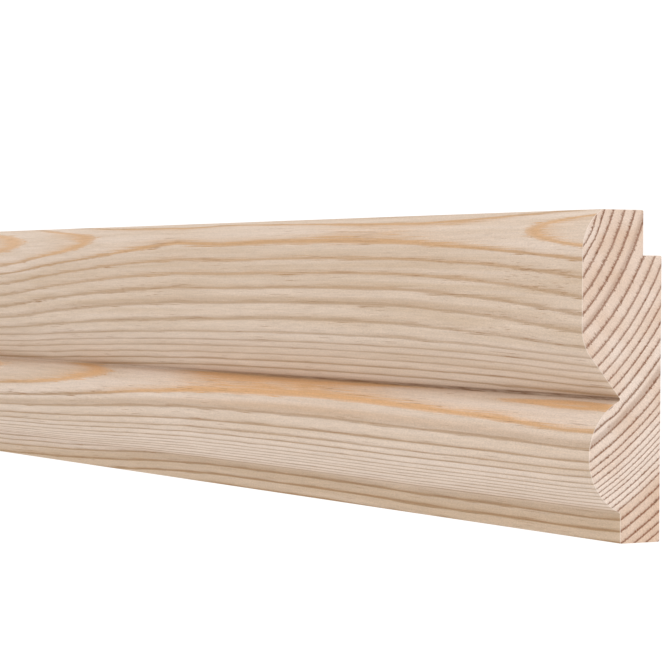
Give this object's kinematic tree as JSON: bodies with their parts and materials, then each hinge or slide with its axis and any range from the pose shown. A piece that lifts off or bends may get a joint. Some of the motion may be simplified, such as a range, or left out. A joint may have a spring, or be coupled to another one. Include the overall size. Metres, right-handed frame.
{
  "type": "picture rail",
  "caption": "Length of planed softwood picture rail with a rounded nose, a chamfered swell above a bead, and a hook rebate behind its top edge.",
  "frame": {"origin": "middle of the back face, which lies on the floor and meets the wall in use", "axes": "+X along the length, +Y across the face from the foot edge to the rebated top edge, +Z from the back to the moulded face"},
  "size_m": [2.4, 0.069, 0.02],
  "materials": {
    "pine": "planed, unfinished, fine sawn ends"
  },
  "bodies": {
    "root": {"picture_rail": "pine"}
  },
  "joints": []
}
